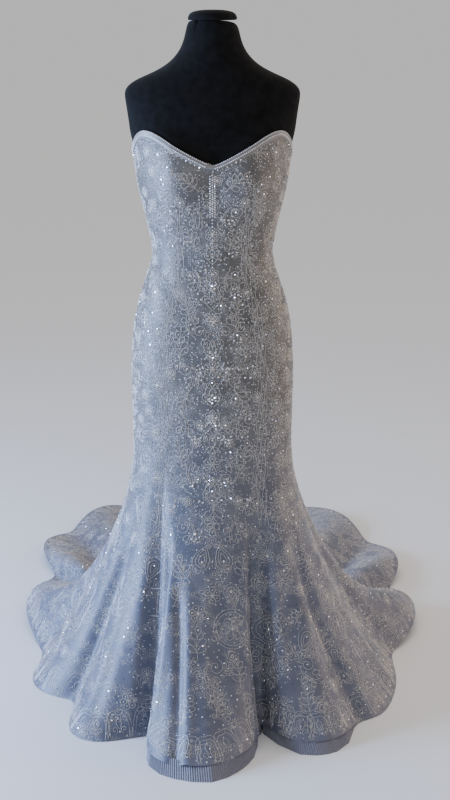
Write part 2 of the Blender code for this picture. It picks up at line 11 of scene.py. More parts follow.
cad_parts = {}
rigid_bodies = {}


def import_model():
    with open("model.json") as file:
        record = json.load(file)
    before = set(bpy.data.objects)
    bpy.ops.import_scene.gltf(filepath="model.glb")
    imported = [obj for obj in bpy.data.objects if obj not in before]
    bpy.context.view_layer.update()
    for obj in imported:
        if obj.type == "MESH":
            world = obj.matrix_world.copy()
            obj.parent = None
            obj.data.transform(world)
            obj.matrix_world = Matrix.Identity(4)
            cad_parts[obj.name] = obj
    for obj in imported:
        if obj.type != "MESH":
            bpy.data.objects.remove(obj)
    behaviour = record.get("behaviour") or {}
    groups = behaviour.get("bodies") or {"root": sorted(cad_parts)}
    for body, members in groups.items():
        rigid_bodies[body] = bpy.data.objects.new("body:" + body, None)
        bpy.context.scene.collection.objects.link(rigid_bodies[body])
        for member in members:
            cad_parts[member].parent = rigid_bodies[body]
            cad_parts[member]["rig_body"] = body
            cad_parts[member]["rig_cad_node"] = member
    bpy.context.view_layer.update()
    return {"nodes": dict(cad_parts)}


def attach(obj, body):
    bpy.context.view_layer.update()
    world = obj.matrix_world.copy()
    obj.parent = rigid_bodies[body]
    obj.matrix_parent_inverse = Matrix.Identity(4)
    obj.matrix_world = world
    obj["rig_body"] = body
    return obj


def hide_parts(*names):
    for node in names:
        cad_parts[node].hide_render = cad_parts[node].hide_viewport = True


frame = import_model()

# The stand is a round iron base with a steel pole that screws into its boss. Both are
# sprayed black, and the pole goes up into the form's underside.
def new_finish(name, colour, roughness, metallic=0.0):
    """A material with its node tree and its shader."""
    made = bpy.data.materials.new(name)
    made.use_nodes = True
    shader = made.node_tree.nodes["Principled BSDF"]
    shader.inputs["Base Color"].default_value = (*colour, 1.0)
    shader.inputs["Roughness"].default_value = roughness
    shader.inputs["Metallic"].default_value = metallic
    return made, made.node_tree, shader


def add_node(tree, kind, sockets=None, **settings):
    """A node with its settings, and each socket given a value or linked to an output."""
    made = tree.nodes.new(kind)
    for key, value in settings.items():
        setattr(made, key, value)
    for key, value in (sockets or {}).items():
        if isinstance(value, bpy.types.NodeSocket):
            tree.links.new(value, made.inputs[key])
        else:
            made.inputs[key].default_value = value
    return made


def blend_colours(tree, share, first, second):
    """The colour between two, each a colour or an output, by a share from 0 to 1."""
    mix = add_node(tree, "ShaderNodeMix", data_type="RGBA")
    for socket, value in ((0, share), (6, first), (7, second)):
        if isinstance(value, bpy.types.NodeSocket):
            tree.links.new(value, mix.inputs[socket])
        elif socket:
            mix.inputs[socket].default_value = (*value, 1.0)
        else:
            mix.inputs[socket].default_value = value
    return mix.outputs[2]


def ramp(tree, value, low, high):
    """A value stretched so that low becomes 0 and high becomes 1."""
    return add_node(
        tree, "ShaderNodeMapRange", {"Value": value, "From Min": low, "From Max": high}
    ).outputs["Result"]


def place_on(tree):
    """Where a point of the piece is, in metres."""
    return add_node(tree, "ShaderNodeTexCoord").outputs["Object"]


def noise(tree, place, scale, detail):
    """Soft random clouds, about 0.5 on average."""
    sockets = {"Vector": place, "Scale": scale, "Detail": detail}
    return add_node(tree, "ShaderNodeTexNoise", sockets).outputs["Fac"]


def colour_by(tree, shader, value, low, high, first, second):
    """Colours a finish from first to second as a value goes from low to high."""
    blend = blend_colours(tree, ramp(tree, value, low, high), first, second)
    tree.links.new(blend, shader.inputs["Base Color"])


def bump_with(tree, shader, height, distance, strength):
    """Roughens a finish by a height, without moving its mesh."""
    sockets = {"Height": height, "Distance": distance, "Strength": strength}
    bump = add_node(tree, "ShaderNodeBump", sockets)
    tree.links.new(bump.outputs["Normal"], shader.inputs["Normal"])


iron, tree, shader = new_finish("sprayed_iron", (0.03, 0.03, 0.03), 0.45, 0.3)
grain = noise(tree, place_on(tree), 900.0, 3.0)
colour_by(tree, shader, grain, 0.3, 0.8, (0.02, 0.02, 0.02), (0.05, 0.05, 0.05))
bump_with(tree, shader, grain, 0.0003, 0.5)


def refinish(name, finish):
    """Gives a node of the model its finish and leaves its shape alone."""
    frame["nodes"][name].data.materials.clear()
    frame["nodes"][name].data.materials.append(finish)


refinish("stand_base", iron)
refinish("stand_pole", iron)

# The form is padded and covered in black jersey, sewn in panels. A cap of the same
# jersey over a wooden disc closes its neck. It is turned on the stand's pole.
BODY = "gown_and_form"
WELD = 0.00002


def edit(piece):
    """Opens a piece alone in edit mode with nothing selected."""
    bpy.ops.object.select_all(action="DESELECT")
    piece.select_set(True)
    bpy.context.view_layer.objects.active = piece
    bpy.ops.object.mode_set(mode="EDIT")
    bpy.ops.mesh.select_mode(type="FACE")
    bpy.ops.mesh.select_all(action="DESELECT")


def leave_edit():
    bpy.ops.object.mode_set(mode="OBJECT")


def free_copy(node, name):
    """A copy of a node, welded and free to be shaped."""
    bpy.ops.object.select_all(action="DESELECT")
    source = frame["nodes"][node]
    source.select_set(True)
    bpy.context.view_layer.objects.active = source
    bpy.ops.object.duplicate()
    made = bpy.context.view_layer.objects.active
    bpy.ops.object.parent_clear(type="CLEAR_KEEP_TRANSFORM")
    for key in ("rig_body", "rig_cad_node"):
        del made[key]
    made.name = name
    made.data.name = name
    bpy.ops.mesh.customdata_custom_splitnormals_clear()
    edit(made)
    bpy.ops.mesh.select_all(action="SELECT")
    bpy.ops.mesh.remove_doubles(threshold=WELD)
    leave_edit()
    bpy.ops.object.shade_smooth()
    return made


def make_quads(piece):
    """Pairs a piece's triangles, but none across an edge that is marked as a seam."""
    edit(piece)
    bpy.ops.mesh.select_all(action="SELECT")
    bpy.ops.mesh.tris_convert_to_quads(face_threshold=math.pi, shape_threshold=math.pi, seam=True)
    leave_edit()


def apply_modifier(piece, kind, **settings):
    """Adds a modifier to a piece and applies it."""
    bpy.ops.object.select_all(action="DESELECT")
    piece.select_set(True)
    bpy.context.view_layer.objects.active = piece
    bpy.ops.object.modifier_add(type=kind)
    made = piece.modifiers[-1]
    for key, value in settings.items():
        setattr(made, key, value)
    bpy.ops.object.modifier_apply(modifier=made.name)


def join_body(piece, slot, *nodes):
    """Puts a finished piece on the body, in place of the nodes that it stands for."""
    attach(piece, BODY)
    if nodes:
        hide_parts(*nodes)


jersey, tree, shader = new_finish("black_jersey", (0.004, 0.004, 0.004), 0.95)
shader.inputs["Specular IOR Level"].default_value = 0.12
shader.inputs["Sheen Weight"].default_value = 0.03
shader.inputs["Sheen Roughness"].default_value = 0.5
place = place_on(tree)
nap = noise(tree, place, 60.0, 4.0)
ribs = add_node(
    tree, "ShaderNodeTexWave", {"Vector": place, "Scale": 190.0, "Distortion": 0.8, "Detail": 1.0}
).outputs["Fac"]
colour_by(tree, shader, nap, 0.35, 0.7, (0.003, 0.003, 0.003), (0.007, 0.007, 0.008))
bump_with(tree, shader, ribs, 0.0003, 0.35)

for node, levels in (("form_torso", 2), ("form_neck_cap", 1)):
    cover = free_copy(node, node.replace("form", "jersey"))
    make_quads(cover)
    apply_modifier(cover, "SUBSURF", levels=levels, render_levels=levels)
    cover.data.materials.clear()
    cover.data.materials.append(jersey)
    join_body(cover, "form", node)

# The gown is cut in seven long gores of net over satin. They are seamed from the
# neckline to the hem, with the zip in the centre back seam. The train is cut in one
# with the back gores.
GORES = (
    "front_centre", "front_side_left", "front_side_right", "back_side_left",
    "back_side_right", "back_centre_left", "back_centre_right",
)
RIM_EDGE = 0.0032        # only the triangles of a wall's rims have an edge this short
SEAM_WELD = 0.0016
CLOTH_THICKNESS = 0.0016
NECKLINE_LOWEST = 1.20
WAIST = 1.0              # above it a gore's outermost face is on its outside


def outer_face(node, number):
    """The outer face of one gore's wall, without its rims and its lining side."""
    sheet = free_copy(node, "gown_" + node)
    edit(sheet)
    mesh = bmesh.from_edit_mesh(sheet.data)
    for face in mesh.faces:
        face.select_set(min(edge.calc_length() for edge in face.edges) < RIM_EDGE)
    bpy.ops.mesh.delete(type="FACE")
    mesh = bmesh.from_edit_mesh(sheet.data)
    high = [face for face in mesh.faces if face.calc_center_median().z > WAIST]
    outermost = max(high, key=lambda face: face.normal.xy.dot(face.calc_center_median().xy))
    outermost.select_set(True)
    bmesh.update_edit_mesh(sheet.data)
    bpy.ops.mesh.select_linked()
    bpy.ops.mesh.select_all(action="INVERT")
    bpy.ops.mesh.delete(type="VERT")
    leave_edit()
    marks = sheet.data.attributes.new("gore", "INT", "FACE")
    marks.data.foreach_set("value", [number] * len(sheet.data.polygons))
    return sheet


sheets = [outer_face(node, number) for number, node in enumerate(GORES)]
bpy.ops.object.select_all(action="DESELECT")
for sheet in sheets:
    sheet.select_set(True)
gown = sheets[0]
bpy.context.view_layer.objects.active = gown
bpy.ops.object.join()
gown.name = "gown_whole"
edit(gown)
bpy.ops.mesh.select_mode(type="EDGE")
bpy.ops.mesh.select_non_manifold()
bpy.ops.mesh.remove_doubles(threshold=SEAM_WELD)
leave_edit()

mesh = bmesh.new()
mesh.from_mesh(gown.data)
crease = mesh.verts.layers.float.new("crease_vert")
band = mesh.faces.layers.int.new("band")
top_edge = {v for e in mesh.edges if e.is_boundary for v in e.verts if v.co.z > NECKLINE_LOWEST}
below_band = {e.other_vert(v) for v in top_edge for e in v.link_edges} - top_edge
for edge in mesh.edges:
    edge.seam = all(v in below_band for v in edge.verts)
for face in mesh.faces:
    face[band] = int(any(v in top_edge for v in face.verts))
front_point_of_edge = min(top_edge, key=lambda v: abs(v.co.x) + (v.co.y > 0))
front_point_of_edge[crease] = 1.0
mesh.to_mesh(gown.data)
mesh.free()
make_quads(gown)
apply_modifier(gown, "SUBSURF", levels=2, render_levels=2)

# Drag lines and soft folds: where each starts and ends, how wide it is, and how deep, where
# less than 0 is a trough.
CREASES = (
    ("left waist", (-0.135, -0.02, 1.050), (-0.085, -0.09, 1.000), 0.010, -0.0022),
    ("left waist, lower", (-0.148, -0.01, 1.010), (-0.100, -0.09, 0.968), 0.009, 0.0016),
    ("left hip", (-0.170, 0.01, 0.950), (-0.120, -0.09, 0.925), 0.012, -0.0016),
    ("right waist", (0.135, -0.02, 1.062), (0.080, -0.09, 1.022), 0.010, -0.0020),
    ("right waist, upper", (0.140, 0.00, 1.095), (0.095, -0.08, 1.078), 0.009, 0.0016),
    ("right hip", (0.168, 0.00, 0.965), (0.115, -0.09, 0.930), 0.011, -0.0018),
    ("below the left cup", (-0.150, -0.02, 1.180), (-0.090, -0.10, 1.150), 0.010, -0.0014),
    ("below the right cup", (0.152, -0.02, 1.172), (0.095, -0.10, 1.150), 0.010, -0.0016),
    ("left knee", (-0.170, -0.04, 0.640), (-0.080, -0.12, 0.585), 0.016, -0.0026),
    ("right knee", (0.172, -0.04, 0.625), (0.090, -0.12, 0.575), 0.015, -0.0024),
    ("middle knee", (-0.060, -0.12, 0.610), (0.040, -0.12, 0.596), 0.014, -0.0016),
    ("back waist, left", (-0.120, 0.05, 1.050), (-0.040, 0.10, 1.025), 0.010, -0.0024),
    ("back waist, right", (0.125, 0.05, 1.045), (0.045, 0.10, 1.012), 0.010, -0.0022),
    ("seat, left", (-0.130, 0.10, 0.800), (-0.050, 0.14, 0.760), 0.014, -0.0020),
    ("seat, right", (0.135, 0.10, 0.790), (0.055, 0.14, 0.745), 0.013, -0.0022),
    ("back knee, left", (-0.110, 0.11, 0.600), (-0.020, 0.14, 0.545), 0.016, -0.0028),
    ("back knee, right", (0.115, 0.11, 0.615), (0.030, 0.14, 0.550), 0.016, -0.0026),
    ("left valley", (-0.108, -0.15, 0.460), (-0.136, -0.290, 0.030), 0.013, -0.0150),
    ("left valley, outer edge", (-0.150, -0.15, 0.420), (-0.185, -0.300, 0.030), 0.016, 0.0060),
    ("left valley, inner edge", (-0.090, -0.16, 0.420), (-0.118, -0.370, 0.030), 0.013, 0.0050),
    ("front valley", (-0.070, -0.17, 0.330), (-0.083, -0.458, 0.024), 0.010, -0.0105),
    ("front valley, inner edge", (-0.052, -0.17, 0.360), (-0.058, -0.480, 0.024), 0.011, 0.0060),
    ("right valley", (0.104, -0.15, 0.460), (0.112, -0.272, 0.030), 0.012, -0.0160),
    ("right valley, inner edge", (0.082, -0.16, 0.430), (0.094, -0.340, 0.030), 0.012, 0.0060),
    ("right valley, outer edge", (0.128, -0.15, 0.420), (0.145, -0.345, 0.030), 0.014, 0.0060),
    ("left flute", (-0.175, -0.12, 0.400), (-0.262, -0.262, 0.040), 0.020, -0.0055),
    ("left flute, far edge", (-0.185, -0.07, 0.400), (-0.330, -0.125, 0.030), 0.015, -0.0090),
    ("left flute, crest", (-0.190, -0.10, 0.330), (-0.318, -0.195, 0.030), 0.018, 0.0060),
    ("left side", (-0.200, -0.02, 0.400), (-0.420, 0.010, 0.030), 0.022, 0.0060),
    ("left side, upper", (-0.200, 0.05, 0.380), (-0.440, 0.150, 0.030), 0.018, -0.0080),
    ("centre flute", (0.020, -0.15, 0.400), (0.030, -0.440, 0.040), 0.024, -0.0045),
    ("right flute", (0.150, -0.13, 0.380), (0.222, -0.345, 0.040), 0.022, -0.0055),
    ("right flute, crest", (0.175, -0.12, 0.330), (0.290, -0.310, 0.030), 0.018, 0.0060),
    ("right flute, far edge", (0.190, -0.10, 0.400), (0.340, -0.225, 0.030), 0.015, -0.0090),
    ("right side", (0.205, -0.03, 0.380), (0.430, -0.050, 0.030), 0.022, 0.0060),
    ("right side, upper", (0.200, 0.04, 0.380), (0.460, 0.140, 0.030), 0.018, -0.0085),
    ("train, right", (0.300, 0.300, 0.080), (0.520, 0.380, 0.030), 0.026, 0.0100),
    ("train, right side", (0.280, 0.420, 0.080), (0.490, 0.540, 0.030), 0.018, -0.0080),
    ("train, right back", (0.260, 0.600, 0.080), (0.480, 0.760, 0.030), 0.024, 0.0080),
    ("train, left", (-0.300, 0.300, 0.080), (-0.460, 0.400, 0.030), 0.026, 0.0100),
    ("train, left side", (-0.280, 0.440, 0.080), (-0.450, 0.600, 0.030), 0.018, -0.0080),
    ("train, left back", (-0.240, 0.620, 0.080), (-0.440, 0.820, 0.030), 0.024, 0.0080),
    ("train, middle left", (-0.060, 0.450, 0.100), (-0.120, 1.200, 0.030), 0.030, 0.0090),
    ("train, middle", (0.010, 0.400, 0.100), (0.010, 1.280, 0.030), 0.020, -0.0080),
    ("train, middle right", (0.080, 0.480, 0.100), (0.170, 1.180, 0.030), 0.028, 0.0080),
)
CREASE_STEPS = 10
CREASE_START = 0.35      # a crease deepens over this share of its length
CREASE_END = 0.20        # and fades over this share, unless it runs out at the hem
CREASE_SHOWS = 0.1       # how far along its fade a crease starts
HEM_HEIGHT = 0.10
GROUNDED = 0.012         # below this height the cloth stays as it lies on the floor


def soften(share):
    """A share from 0 to 1, eased at both ends."""
    share = np.clip(share, 0, 1)
    return share * share * (3 - 2 * share)


def press_creases(piece):
    """Moves the cloth in or out along each crease, less and less towards its ends."""
    spots = np.array([v.co[:] for v in piece.data.vertices])
    normals = np.array([v.normal[:] for v in piece.data.vertices])
    tree = BVHTree.FromPolygons(spots.tolist(), [p.vertices[:] for p in piece.data.polygons])
    push = np.zeros(len(spots))
    for _, start, end, width, depth in CREASES:
        start, end = (tree.find_nearest(Vector(p))[0] for p in (start, end))
        path = [
            np.array(tree.find_nearest(start.lerp(end, k / CREASE_STEPS))[0])
            for k in range(CREASE_STEPS + 1)
        ]
        nearest = np.full(len(spots), np.inf)
        share = np.zeros(len(spots))
        for step, (a, b) in enumerate(zip(path, path[1:])):
            run = b - a
            along = np.clip((spots - a) @ run / max(run @ run, 1e-12), 0, 1)
            across = np.linalg.norm(spots - a - along[:, None] * run, axis=1)
            closer = across < nearest
            nearest[closer] = across[closer]
            share[closer] = (step + along[closer]) / CREASE_STEPS
        fade = soften(share / CREASE_START + CREASE_SHOWS)
        if end.z > HEM_HEIGHT:
            fade = fade * soften((1 - share) / CREASE_END + CREASE_SHOWS)
        push += depth * np.exp(-(nearest / width) ** 2) * fade
    grounded = np.clip(spots[:, 2] / GROUNDED, 0, 1)
    spots += normals * (push * grounded)[:, None]
    piece.data.vertices.foreach_set("co", spots.ravel())
    piece.data.update()


press_creases(gown)
directions = gown.data.attributes.new("cloth_normal", "FLOAT_VECTOR", "POINT")
directions.data.foreach_set("vector", [c for v in gown.data.vertices for c in v.normal])

spots = [v.co.copy() for v in gown.data.vertices]
cloth_tree = BVHTree.FromPolygons(spots, [p.vertices[:] for p in gown.data.polygons])
cloth_faces = [(p.center.copy(), p.normal.copy(), p.area) for p in gown.data.polygons]

lace, tree, shader = new_finish("beaded_net_over_satin", (0.25, 0.25, 0.28), 0.5)
shader.inputs["Sheen Weight"].default_value = 0.20
shader.inputs["Sheen Roughness"].default_value = 0.35
place = place_on(tree)
height = add_node(tree, "ShaderNodeSeparateXYZ", {"Vector": place}).outputs["Z"]
cloud = ramp(tree, noise(tree, place, 14.0, 4.0), 0.35, 0.65)
# Partly painted light: the satin is greyer above, where the beading is densest, and bluer towards the
# hem. The blue below is a painted tint of the cool window light on the skirt.
upper = blend_colours(tree, cloud, (0.082, 0.080, 0.080), (0.126, 0.122, 0.118))
lower = blend_colours(tree, cloud, (0.068, 0.080, 0.122), (0.102, 0.112, 0.158))
satin = blend_colours(tree, ramp(tree, height, 0.35, 0.75), lower, upper)


def combine(tree, operation, first, second):
    """Two values worked into one."""
    return add_node(tree, "ShaderNodeMath", {0: first, 1: second}, operation=operation).outputs[0]


# Floss curls come from the rings round scattered points, pushed off true by noise.
wander = add_node(tree, "ShaderNodeTexNoise", {"Vector": place, "Scale": 55.0, "Detail": 2.0})
shift = add_node(
    tree, "ShaderNodeVectorMath", {0: wander.outputs["Color"], 1: (0.010, 0.010, 0.010)},
    operation="MULTIPLY",
)
warped = add_node(tree, "ShaderNodeVectorMath", {0: place, 1: shift.outputs[0]}).outputs[0]
rings = add_node(tree, "ShaderNodeTexVoronoi", {"Vector": warped, "Scale": 62.0}).outputs["Distance"]
waves = combine(tree, "MULTIPLY", rings, 26.0)
curls = add_node(tree, "ShaderNodeMath", {0: waves}, operation="SINE").outputs[0]
patch = ramp(tree, noise(tree, place, 26.0, 2.0), 0.44, 0.58)
floss = combine(tree, "MULTIPLY", ramp(tree, curls, 0.25, 0.85), patch)
stitched = blend_colours(tree, floss, satin, (0.30, 0.29, 0.29))

# The finest beads are dots in the finish, down to the flare. Some are dark, some pale.
worked = ramp(tree, height, 0.30, 0.62)
beading = add_node(tree, "ShaderNodeTexVoronoi", {"Vector": place, "Scale": 240.0})
dots = combine(tree, "MULTIPLY", ramp(tree, beading.outputs["Distance"], 0.36, 0.26), worked)
pick = add_node(tree, "ShaderNodeSeparateColor", {"Color": beading.outputs["Color"]}).outputs["Red"]
dark = combine(tree, "MULTIPLY", dots, ramp(tree, pick, 0.66, 0.70))
pale = combine(tree, "MULTIPLY", dots, ramp(tree, pick, 0.26, 0.22))
beaded = blend_colours(tree, dark, stitched, (0.045, 0.045, 0.05))
beaded = blend_colours(tree, pale, beaded, (0.50, 0.50, 0.53))
tree.links.new(beaded, shader.inputs["Base Color"])
bump_with(tree, shader, combine(tree, "ADD", floss, dots), 0.0007, 0.6)
shine = add_node(tree, "ShaderNodeMapRange", {"Value": dots, "To Min": 0.50, "To Max": 0.22})
tree.links.new(shine.outputs["Result"], shader.inputs["Roughness"])
gown.data.materials.clear()
gown.data.materials.append(lace)


def split_off(piece, name, mark, number):
    """Cuts the faces with one mark away from a piece, as a piece of their own."""
    marks = np.zeros(len(piece.data.polygons), int)
    piece.data.attributes[mark].data.foreach_get("value", marks)
    edit(piece)
    mesh = bmesh.from_edit_mesh(piece.data)
    for face in mesh.faces:
        face.select_set(bool(marks[face.index] == number))
    bmesh.update_edit_mesh(piece.data)
    bpy.ops.mesh.separate(type="SELECTED")
    leave_edit()
    made = next(o for o in bpy.context.selected_objects if o is not piece)
    made.name = name
    made.data.name = name
    return made


# The neckline band is a bias strip that binds the top edge, under a row of beads. It is
# made from the cloth's own top row, moved out.
BAND_THICKNESS = 0.0013
BAND_GAP = 0.0003

bpy.ops.object.select_all(action="DESELECT")
gown.select_set(True)
bpy.context.view_layer.objects.active = gown
bpy.ops.object.duplicate()
strip_source = bpy.context.view_layer.objects.active
band_piece = split_off(strip_source, "band_of_neckline", "band", 1)
bpy.data.objects.remove(strip_source)
for vertex in band_piece.data.vertices:
    vertex.co += vertex.normal * BAND_GAP
band_piece.data.update()
apply_modifier(band_piece, "SOLIDIFY", thickness=BAND_THICKNESS, offset=1.0)
binding, tree, shader = new_finish("satin_binding", (0.55, 0.50, 0.49), 0.38)
shader.inputs["Sheen Weight"].default_value = 0.2
weave = noise(tree, place_on(tree), 420.0, 2.0)
colour_by(tree, shader, weave, 0.3, 0.7, (0.13, 0.125, 0.125), (0.21, 0.20, 0.195))
bump_with(tree, shader, weave, 0.0004, 0.5)
band_piece.data.materials.clear()
band_piece.data.materials.append(binding)
join_body(band_piece, "band", "neckline_band")

# The net is worked all over with silver cord, laid along drawn lines and stitched down by
# machine: scrolls, sprays, paisleys and rosettes, and a border of arches on the hem.
CORD_WIDTH = 0.0016
CORD_HEIGHT = 0.0008
CORD_SINK = 0.0004
REACH = 0.03             # a drawn point lies within this of the cloth
MOTIF_STONE = 0.0042
MOTIF_BEAD = 0.0026
UP = Vector((0, 0, 1))

# The stitched design on the front, in mirrored pairs away from the centre: how high, how
# far out, how large, and how far turned from upright in degrees.
DRAWN = (
    ("rosette", 1.110, 0.000, 0.034, 0),
    ("lyre", 1.068, 0.000, 0.046, 0),
    ("scroll", 1.150, 0.040, 0.060, 20),
    ("spray", 1.222, 0.052, 0.058, 62),
    ("scroll", 1.205, 0.103, 0.062, -30),
    ("spray", 1.285, 0.098, 0.050, 100),
    ("paisley", 1.150, 0.102, 0.046, 25),
    ("rosette", 1.180, 0.070, 0.026, 0),
    ("spray", 1.098, 0.048, 0.056, 30),
    ("scroll", 1.070, 0.085, 0.052, -20),
    ("rosette", 1.022, 0.000, 0.030, 0),
    ("scroll", 1.010, 0.042, 0.058, 10),
    ("paisley", 1.020, 0.095, 0.044, 170),
    ("lyre", 0.975, 0.000, 0.060, 0),
    ("spray", 0.948, 0.058, 0.056, 20),
    ("rosette", 0.980, 0.074, 0.026, 0),
    ("rosette", 0.925, 0.000, 0.038, 0),
    ("scroll", 0.905, 0.040, 0.060, -160),
    ("scroll", 0.940, 0.110, 0.060, 15),
    ("lyre", 0.862, 0.000, 0.066, 180),
    ("spray", 0.860, 0.075, 0.062, 10),
    ("paisley", 0.880, 0.125, 0.048, -20),
    ("rosette", 0.812, 0.000, 0.040, 0),
    ("scroll", 0.800, 0.048, 0.062, 15),
    ("rosette", 0.800, 0.095, 0.030, 0),
    ("lyre", 0.755, 0.000, 0.060, 0),
    ("spray", 0.740, 0.060, 0.060, 160),
    ("rosette", 0.700, 0.000, 0.036, 0),
    ("rosette", 0.682, 0.030, 0.024, 0),
    ("scroll", 0.685, 0.072, 0.060, 20),
    ("lyre", 0.645, 0.000, 0.066, 180),
    ("rosette", 0.640, 0.038, 0.026, 0),
    ("spray", 0.610, 0.075, 0.060, 15),
    ("rosette", 0.590, 0.000, 0.040, 0),
    ("scroll", 0.565, 0.042, 0.060, -165),
    ("lyre", 0.530, 0.000, 0.058, 0),
    ("rosette", 0.505, 0.058, 0.024, 0),
    ("spray", 0.470, 0.000, 0.070, 180),
    ("scroll", 0.440, 0.055, 0.060, 15),
    ("paisley", 0.385, 0.020, 0.060, 170),
    ("spray", 0.360, 0.072, 0.064, 10),
    ("rosette", 0.310, 0.000, 0.040, 0),
    ("ring", 0.240, 0.045, 0.090, 0),
    ("spray", 0.220, -0.032, 0.070, 0),
    ("scroll", 0.165, 0.000, 0.070, 0),
)
# The lines of close cord beside the front seams, from the bust to the flare
STRIPE_PATH = (
    (1.170, 0.084), (1.110, 0.076), (1.055, 0.072), (0.980, 0.086), (0.900, 0.104),
    (0.800, 0.112), (0.700, 0.112), (0.600, 0.110), (0.520, 0.112), (0.440, 0.118),
)
STRIPE_PITCH = 0.0065
STRIPES = 4
STRIPE_STEP = 0.0072     # between two points of a line
STRIPE_SWAY = 0.0022     # how far a line wanders to each side
STRIPE_WAVES = 90        # how fast it does, in radians per metre
STRIPE_SHIFT = 1.9       # and how far each is out of step with the last
STRIPE_CLEAR = 0.016     # no motif comes nearer to the lines

# What fills the rest: from this height down, how far apart, how large, and which motifs
FILL = (
    (1.400, 0.036, 0.046, ("scroll", "spray", "rosette", "paisley")),
    (0.600, 0.046, 0.056, ("scroll", "spray", "scroll", "rosette", "paisley")),
    (0.300, 0.062, 0.070, ("scroll", "spray", "ring", "rosette", "paisley")),
    (0.130, 0.056, 0.062, ("scroll", "spray", "scroll", "rosette", "paisley")),
)
ARCH_PITCH = 0.058
ARCH_SIZE = 0.062
ARCH_ABOVE_HEM = 0.036
FILL_TRIES = 9000
FILL_SEED = 4
FILL_CROWDING = 0.8      # how far into a placed motif the next may reach
FILL_SIZES = (0.85, 1.1)
FILL_TURN = 50           # at most, to each side of upright, in degrees
ROSETTE_SHARE = 0.6      # of the size of the other motifs
NECK_CLEAR = 0.012


def spiral(across, down, radius, turns, start, hand=1):
    """A curl that opens outward from its eye."""
    share = np.linspace(0, 1, int(14 * turns) + 2)
    turn = math.radians(start) + hand * 2 * math.pi * turns * share
    reach = radius * (0.12 + 0.88 * share)
    return np.stack((across + reach * np.cos(turn), down + reach * np.sin(turn)), 1)


def petal(across, down, length, width, heading):
    """A closed leaf, pointed at its foot and round at its tip."""
    share = np.linspace(0, 2 * math.pi, 14)
    along = length * (1 - np.cos(share)) / 2
    side = width * 0.65 * np.sin(share) * np.sin(share / 2)
    turn = math.radians(heading)
    return np.stack((
        across + along * math.sin(turn) + side * math.cos(turn),
        down - along * math.cos(turn) + side * math.sin(turn),
    ), 1)


def bow(start, middle, end, steps=9):
    """A curved line from start to end that leans towards the middle."""
    t = np.linspace(0, 1, steps)[:, None]
    a, b, c = (np.array(p, float) for p in (start, middle, end))
    return a * (1 - t) ** 2 + 2 * b * t * (1 - t) + c * t * t


def circle(across, down, radius, steps=17):
    """A closed ring."""
    turn = np.linspace(0, 2 * math.pi, steps)
    return np.stack((across + radius * np.cos(turn), down + radius * np.sin(turn)), 1)


def off_middle(reach, degrees):
    """A point this far from a motif's middle, turned this far from straight above it."""
    turn = math.radians(degrees)
    return reach * math.sin(turn), -reach * math.cos(turn)


